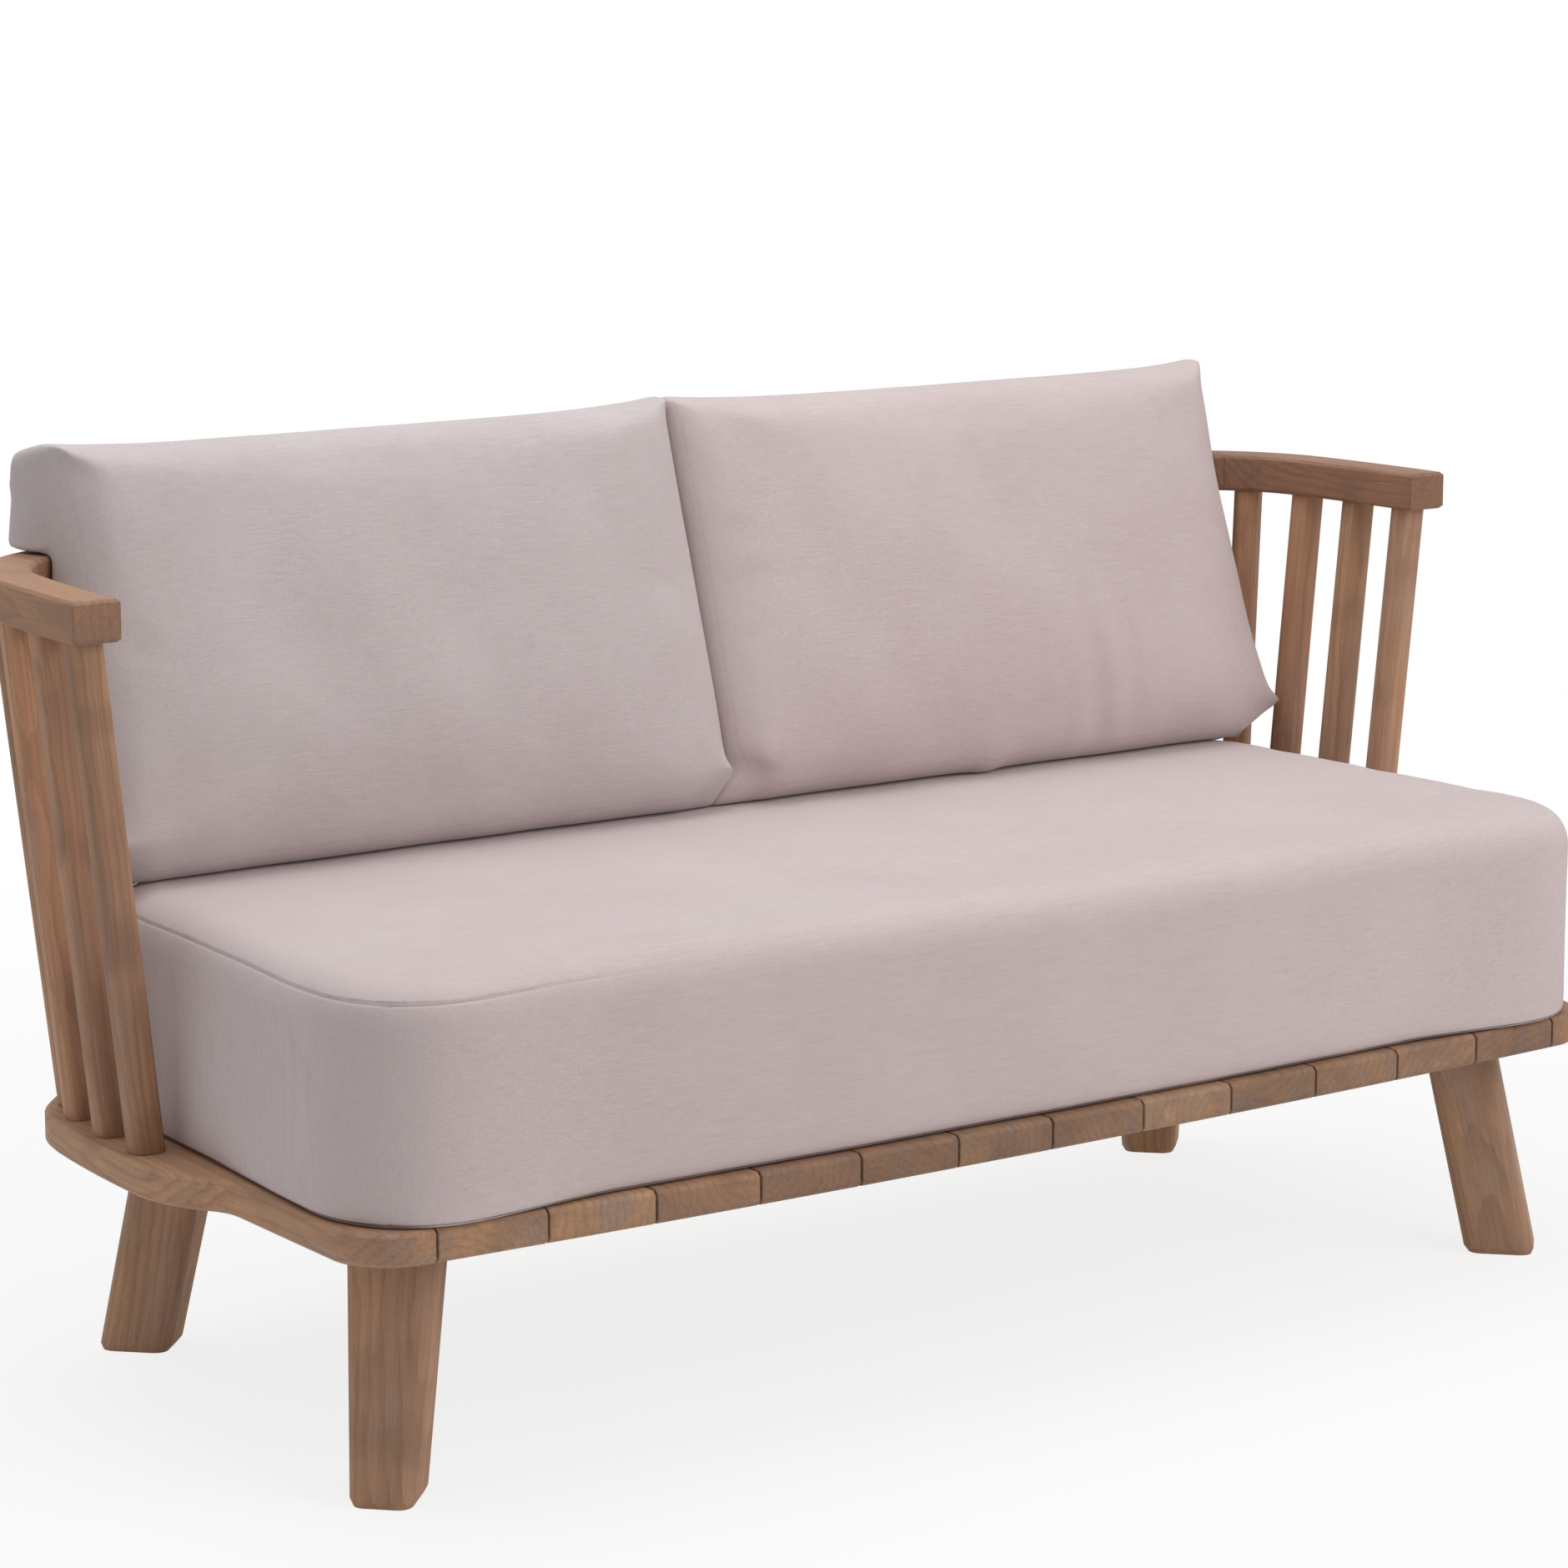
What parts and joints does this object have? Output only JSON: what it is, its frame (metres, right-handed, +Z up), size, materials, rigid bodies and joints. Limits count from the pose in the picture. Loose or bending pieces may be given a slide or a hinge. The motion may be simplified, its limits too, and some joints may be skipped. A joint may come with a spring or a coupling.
{
  "type": "garden sofa",
  "caption": "Garden seat of solid wood: slatted deck on splayed legs, spindle back and arms under a curved top rail, with a thick seat cushion and loose back cushions.",
  "frame": {"origin": "on the ground below the middle of the object's outline seen from above", "axes": "+X along the length towards the arm on the right of the picture, -Y towards the front, +Z up"},
  "size_m": [1.586, 0.7011, 0.8642],
  "materials": {
    "deck_teak": "weathered teak, sanded, unvarnished",
    "rail_teak": "weathered teak, sanded, unvarnished",
    "leg_teak": "weathered teak, sanded, unvarnished",
    "cushion_fabric": "plain woven outdoor fabric with a fine slub",
    "cushion_filling": "foam and fibre filling",
    "steel_fixings": "stainless screws and bolts"
  },
  "bodies": {
    "frame": {"arm_rail_left": "rail_teak", "arm_rail_right": "rail_teak", "back_board": "deck_teak", "back_rail": "rail_teak", "board_screws": "steel_fixings", "deck_bearer_front": "leg_teak", "deck_bearer_rear": "leg_teak", "deck_slat_01": "deck_teak", "deck_slat_02": "deck_teak", "deck_slat_03": "deck_teak", "deck_slat_04": "deck_teak", "deck_slat_05": "deck_teak", "deck_slat_06": "deck_teak", "deck_slat_07": "deck_teak", "deck_slat_08": "deck_teak", "deck_slat_09": "deck_teak", "deck_slat_10": "deck_teak", "deck_slat_11": "deck_teak", "deck_slat_12": "deck_teak", "end_board_left": "deck_teak", "end_board_right": "deck_teak", "leg_bolts": "steel_fixings", "leg_front_left": "leg_teak", "leg_front_right": "leg_teak", "leg_rear_left": "leg_teak", "leg_rear_right": "leg_teak", "spindle_01": "rail_teak", "spindle_02": "rail_teak", "spindle_03": "rail_teak", "spindle_04": "rail_teak", "spindle_05": "rail_teak", "spindle_06": "rail_teak", "spindle_07": "rail_teak", "spindle_08": "rail_teak", "spindle_09": "rail_teak", "spindle_10": "rail_teak", "spindle_11": "rail_teak", "spindle_12": "rail_teak", "spindle_13": "rail_teak", "spindle_14": "rail_teak", "spindle_15": "rail_teak", "spindle_16": "rail_teak", "spindle_17": "rail_teak", "spindle_18": "rail_teak", "spindle_19": "rail_teak", "spindle_20": "rail_teak", "spindle_21": "rail_teak", "spindle_22": "rail_teak", "spindle_23": "rail_teak", "spindle_24": "rail_teak", "spindle_25": "rail_teak", "spindle_26": "rail_teak", "spindle_27": "rail_teak", "spindle_28": "rail_teak"},
    "seat_cushion": {"seat_cushion_cover": "cushion_fabric", "seat_cushion_core": "cushion_filling"},
    "back_cushion_left": {"back_cushion_left_cover": "cushion_fabric", "back_cushion_left_core": "cushion_filling"},
    "back_cushion_right": {"back_cushion_right_cover": "cushion_fabric", "back_cushion_right_core": "cushion_filling"}
  },
  "joints": [
    {"name": "seat_lift", "type": "slide", "parent": "frame", "child": "seat_cushion", "axis": [0, 0, 1], "range_m": [0, 0.5]},
    {"name": "back_left_lift", "type": "slide", "parent": "seat_cushion", "child": "back_cushion_left", "axis": [0, 0, 1], "range_m": [0, 0.35]},
    {"name": "back_right_lift", "type": "slide", "parent": "seat_cushion", "child": "back_cushion_right", "axis": [0, 0, 1], "range_m": [0, 0.35]}
  ]
}
